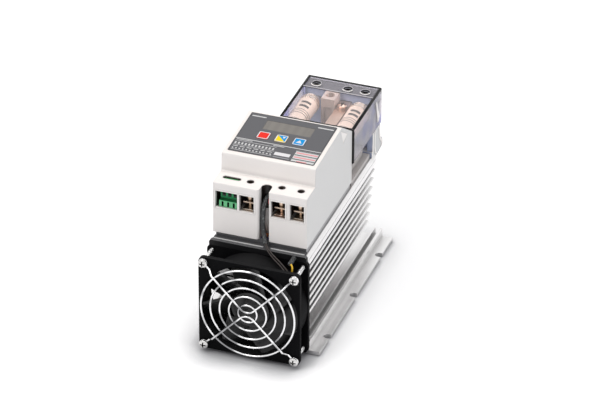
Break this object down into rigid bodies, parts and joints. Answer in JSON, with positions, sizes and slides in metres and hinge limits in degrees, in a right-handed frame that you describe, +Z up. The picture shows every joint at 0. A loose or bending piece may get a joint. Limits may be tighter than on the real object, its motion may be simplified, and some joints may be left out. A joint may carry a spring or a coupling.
{
  "type": "digital power regulator",
  "caption": "Heatsink-mounted solid state power regulator with front fan and wire guard, stepped white housing with keypad display, and fuse bay under a lift-off clear cover.",
  "frame": {"origin": "centre of the bounding box, on the underside of the heatsink base", "axes": "+X to the right seen from the fan, +Y from the fan towards the rear terminals, +Z up from the base"},
  "size_m": [0.1106, 0.2322, 0.1754],
  "materials": {
    "bare_aluminium": "extruded, satin",
    "navy_plastic": "moulded, matt",
    "zinc_steel": "zinc plated",
    "black_plastic": "moulded, satin",
    "warm_white_plastic": "fine matt texture",
    "grey_label": "printed film, satin",
    "smoked_window": "smoked, clear",
    "dark_component": "moulded",
    "green_laminate": "circuit board",
    "copper_bar": "bare copper",
    "plated_brass": "nickel plated brass",
    "green_plastic": "moulded",
    "bright_plating": "bright plated steel",
    "dark_sleeve": "sleeved cable",
    "wire_insulation": "wire insulation",
    "cream_moulding": "moulded, matt",
    "ceramic_body": "glazed ceramic",
    "silvered_cap": "silver plated",
    "warm_plating": "plated copper alloy",
    "pale_plastic": "moulded, satin",
    "red_key": "printed, gloss",
    "yellow_key": "printed, gloss",
    "blue_key": "printed, gloss",
    "smoked_clear": "clear, lightly smoked",
    "tinted_clear": "clear, tinted grey"
  },
  "bodies": {
    "chassis": {"heatsink": "bare_aluminium", "carrier_plate": "navy_plastic", "carrier_screws": "zinc_steel", "air_baffle": "black_plastic", "housing_shell": "warm_white_plastic", "label_overlay": "grey_label", "display_window": "smoked_window", "display_module": "dark_component", "panel_board": "green_laminate", "board_screws": "zinc_steel", "key_switches": "dark_component", "power_board": "green_laminate", "power_parts": "dark_component", "scr_left": "dark_component", "scr_right": "dark_component", "scr_bases": "copper_bar", "scr_screws": "zinc_steel", "line_bars": "plated_brass", "load_bars": "copper_bar", "tag_bolts": "zinc_steel", "green_header": "green_plastic", "clamp_washers": "plated_brass", "clamp_screws": "plated_brass", "heat_cutout": "zinc_steel", "slot_contact": "copper_bar", "fan_frame": "black_plastic", "fan_stator": "copper_bar", "fan_bearing": "plated_brass", "finger_guard": "bright_plating", "fan_screws": "bright_plating", "fan_lead": "dark_sleeve", "fan_wires": "wire_insulation", "lead_grommet": "dark_sleeve", "fuse_base": "cream_moulding", "centre_post": "cream_moulding", "fuse_left": "ceramic_body", "fuse_right": "ceramic_body", "fuse_caps_left": "silvered_cap", "fuse_caps_right": "silvered_cap", "link_bar": "warm_plating", "link_washers": "warm_plating", "link_screw": "warm_plating", "rear_block": "pale_plastic", "rear_cages": "plated_brass", "rear_screws": "bright_plating", "block_screws": "zinc_steel"},
    "rotor": {"fan_rotor": "black_plastic", "fan_shaft": "bright_plating"},
    "red_key": {"key_red": "red_key"},
    "split_key": {"key_split": "yellow_key"},
    "blue_key": {"key_blue": "blue_key"},
    "cover": {"clear_cover": "smoked_clear", "cover_band": "tinted_clear"},
    "plug": {"green_plug": "green_plastic", "plug_screws": "bright_plating"}
  },
  "joints": [
    {"name": "fan_spin", "type": "hinge", "parent": "chassis", "child": "rotor", "pos_m": [0, -0.09773, 0.049], "axis": [0, 1, 0], "continuous": true},
    {"name": "key_red_press", "type": "slide", "parent": "chassis", "child": "red_key", "axis": [0, 0.0502, -0.9987], "range_m": [0, 0.0005], "stiffness_N_per_m": 1500},
    {"name": "key_split_press", "type": "slide", "parent": "chassis", "child": "split_key", "axis": [0, 0.0502, -0.9987], "range_m": [0, 0.0005], "stiffness_N_per_m": 1500},
    {"name": "key_blue_press", "type": "slide", "parent": "chassis", "child": "blue_key", "axis": [0, 0.0502, -0.9987], "range_m": [0, 0.0005], "stiffness_N_per_m": 1500},
    {"name": "cover_lift", "type": "slide", "parent": "chassis", "child": "cover", "axis": [0, 0, 1], "range_m": [0, 0.06]},
    {"name": "plug_pull", "type": "slide", "parent": "chassis", "child": "plug", "axis": [0, -1, 0], "range_m": [0, 0.012]}
  ]
}
